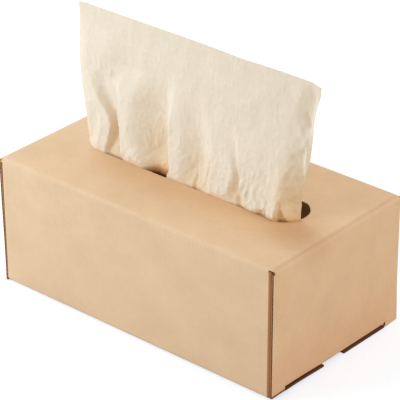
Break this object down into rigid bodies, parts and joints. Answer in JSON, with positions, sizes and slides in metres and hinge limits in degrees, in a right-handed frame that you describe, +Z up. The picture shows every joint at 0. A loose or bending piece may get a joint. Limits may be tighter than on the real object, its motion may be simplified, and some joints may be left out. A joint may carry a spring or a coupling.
{
  "type": "tissue box",
  "caption": "Oblong folded kraft board carton of interfolded facial tissues, with a round-ended slot in its top and one unbleached tissue standing in it.",
  "frame": {"origin": "centre of the carton's footprint, on the surface it stands on", "axes": "+X along the carton's length, +Y across it from the front long panel to the back one, +Z up out of the slot"},
  "size_m": [0.23, 0.128, 0.185],
  "materials": {
    "kraft_board": "matte uncoated kraft",
    "tissue_paper": "soft matte unbleached tissue"
  },
  "bodies": {
    "root": {"carton": "kraft_board", "tissue_pile": "tissue_paper", "standing_tissue": "tissue_paper"}
  },
  "joints": []
}
